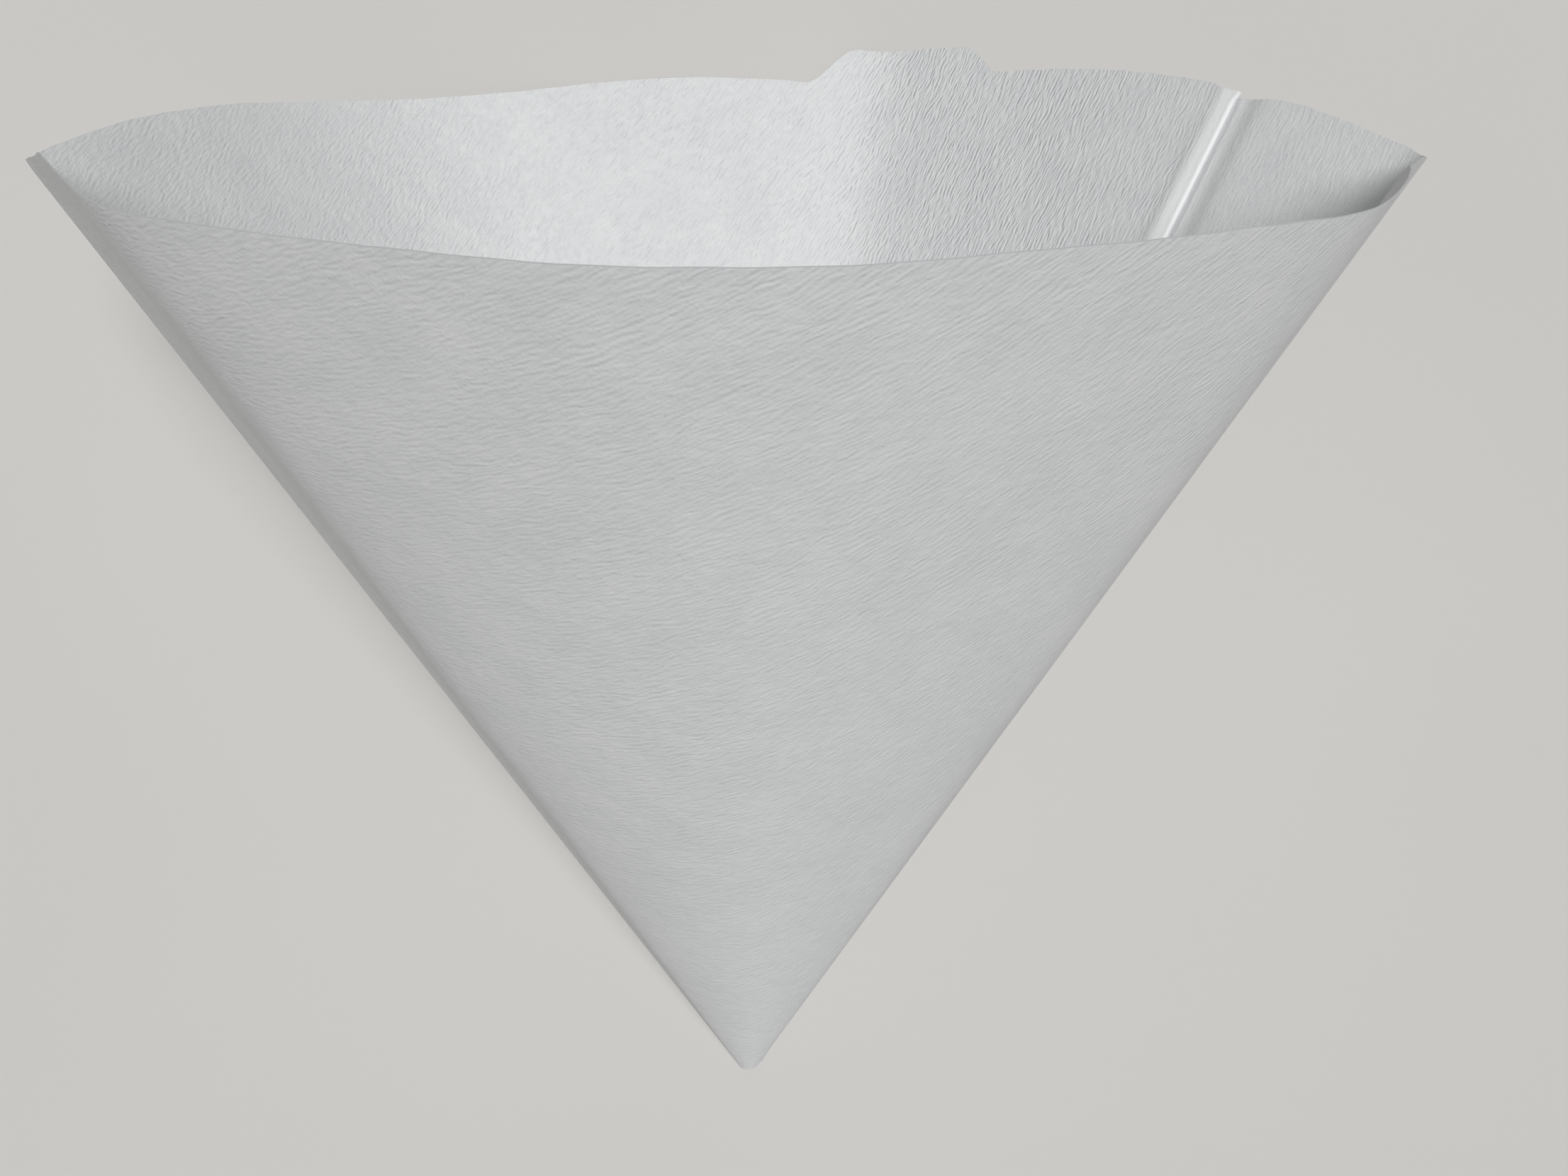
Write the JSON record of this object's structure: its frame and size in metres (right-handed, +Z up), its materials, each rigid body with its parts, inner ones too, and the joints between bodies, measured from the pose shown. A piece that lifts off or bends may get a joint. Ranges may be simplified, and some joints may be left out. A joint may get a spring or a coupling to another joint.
{
  "type": "paper coffee filter",
  "caption": "Paper coffee filter: one creped white sheet folded into a cone, closed by a crimped side seam, with a low rim tab, opened by hand and lying on its back wall",
  "frame": {"origin": "Under the middle of the part's box, on the table that the filter lies on", "axes": "+Z is up from the table, +Y is the way the mouth of the lying cone faces, and +X is to the right as the mouth faces away, towards the seam; metres"},
  "size_m": [0.1316, 0.1272, 0.1079],
  "materials": {
    "filter_paper": "matte"
  },
  "bodies": {
    "root": {"paper_filter": "filter_paper"}
  },
  "joints": []
}
